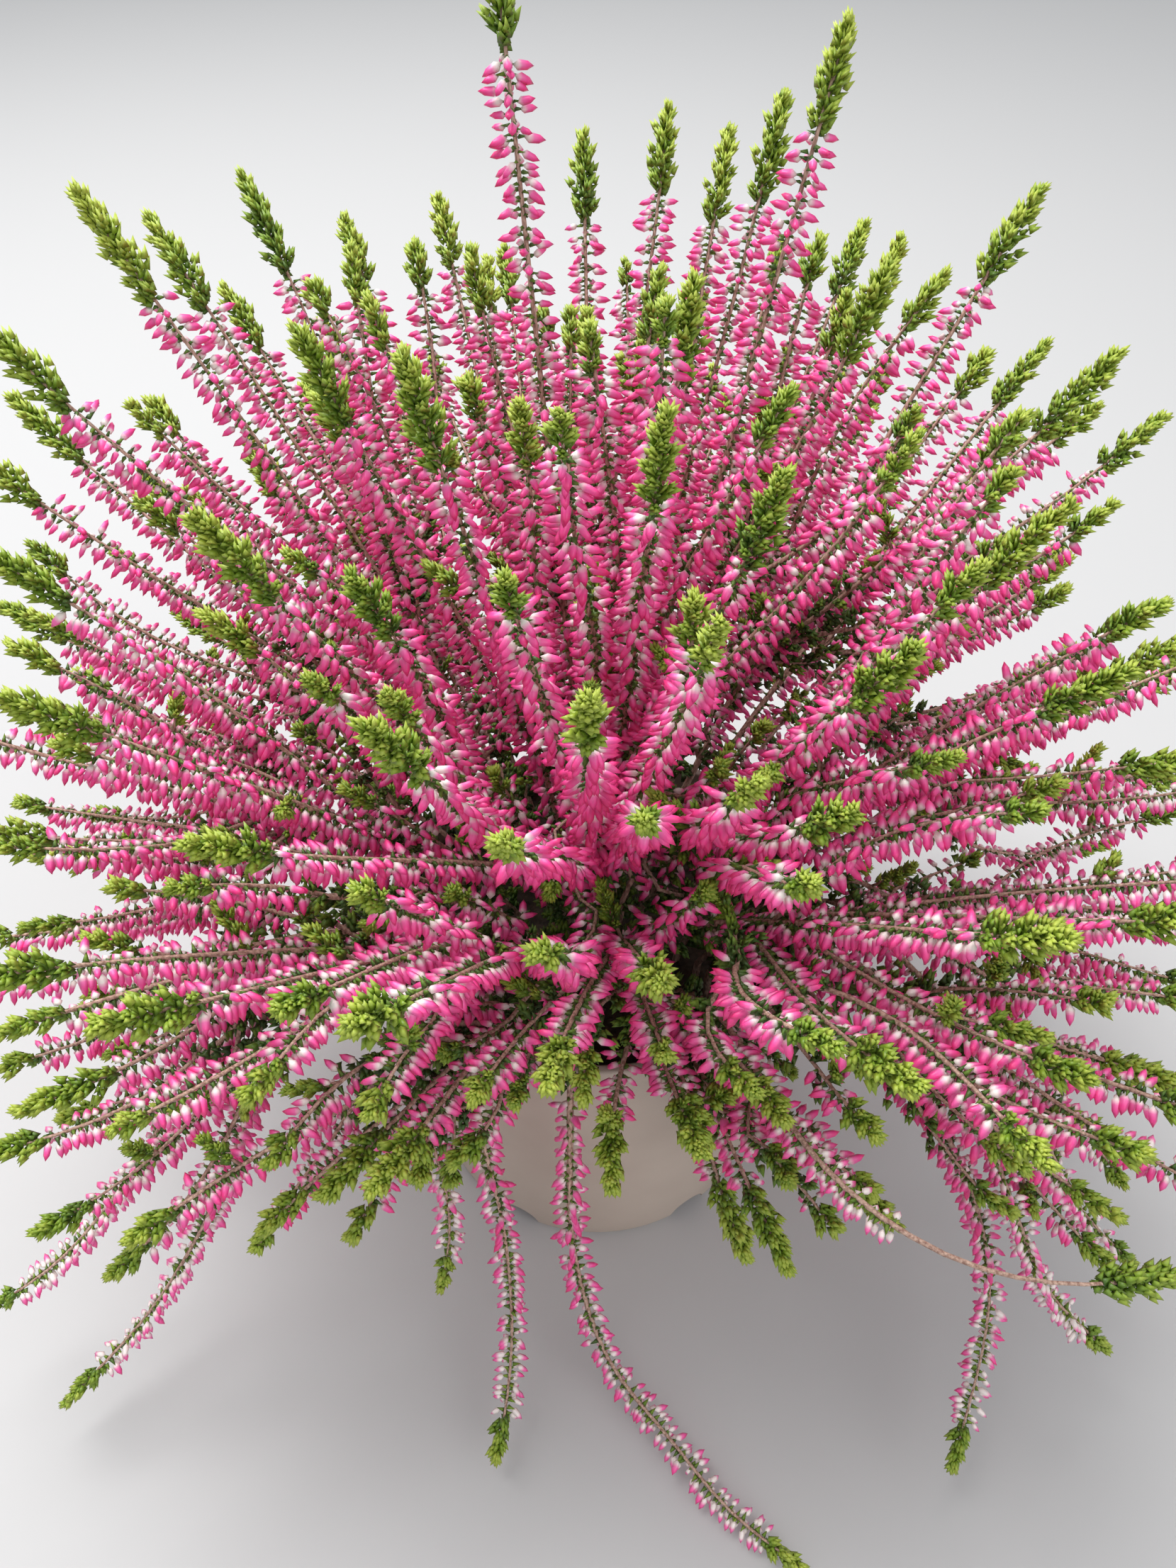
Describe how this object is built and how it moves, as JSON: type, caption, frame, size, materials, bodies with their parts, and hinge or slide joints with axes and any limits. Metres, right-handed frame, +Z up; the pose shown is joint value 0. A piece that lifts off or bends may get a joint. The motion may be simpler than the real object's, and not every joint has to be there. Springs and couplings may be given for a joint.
{
  "type": "potted heather",
  "caption": "bushy heather plant with budding pink sprays and leafy green tips, rooted in peat in a plain round plastic pot",
  "frame": {"origin": "middle of the pot's underside, on the surface that the pot stands on", "axes": "+Z up out of the pot, +Y to the back of the plant, +X to its right as it is seen from the front"},
  "size_m": [0.3793, 0.3637, 0.3547],
  "materials": {
    "pot_plastic": "matte moulded plastic, taupe",
    "peat": "dark crumbly peat",
    "flowering_sprays": "pink closed buds on brown woody stems, with yellow-green leafy tips"
  },
  "bodies": {
    "root": {"branch_01": "flowering_sprays", "branch_02": "flowering_sprays", "branch_03": "flowering_sprays", "branch_04": "flowering_sprays", "branch_05": "flowering_sprays", "branch_06": "flowering_sprays", "branch_07": "flowering_sprays", "branch_08": "flowering_sprays", "branch_09": "flowering_sprays", "branch_10": "flowering_sprays", "branch_11": "flowering_sprays", "branch_12": "flowering_sprays", "branch_13": "flowering_sprays", "branch_14": "flowering_sprays", "branch_15": "flowering_sprays", "branch_16": "flowering_sprays", "branch_17": "flowering_sprays", "branch_18": "flowering_sprays", "branch_19": "flowering_sprays", "branch_20": "flowering_sprays", "branch_21": "flowering_sprays", "branch_22": "flowering_sprays", "branch_23": "flowering_sprays", "branch_24": "flowering_sprays", "branch_25": "flowering_sprays", "branch_26": "flowering_sprays", "branch_27": "flowering_sprays", "branch_28": "flowering_sprays", "branch_29": "flowering_sprays", "branch_30": "flowering_sprays", "branch_31": "flowering_sprays", "branch_32": "flowering_sprays", "branch_33": "flowering_sprays", "branch_34": "flowering_sprays", "branch_35": "flowering_sprays", "branch_36": "flowering_sprays", "branch_37": "flowering_sprays", "branch_38": "flowering_sprays", "branch_39": "flowering_sprays", "branch_40": "flowering_sprays", "branch_41": "flowering_sprays", "branch_42": "flowering_sprays", "branch_43": "flowering_sprays", "peat_root_ball": "peat", "pot": "pot_plastic", "trailing_spray_44": "flowering_sprays", "trailing_spray_45": "flowering_sprays", "trailing_spray_46": "flowering_sprays", "trailing_spray_47": "flowering_sprays", "trailing_spray_48": "flowering_sprays", "trailing_spray_49": "flowering_sprays", "trailing_spray_50": "flowering_sprays", "trailing_spray_51": "flowering_sprays", "trailing_spray_52": "flowering_sprays", "trailing_spray_53": "flowering_sprays"}
  },
  "joints": []
}
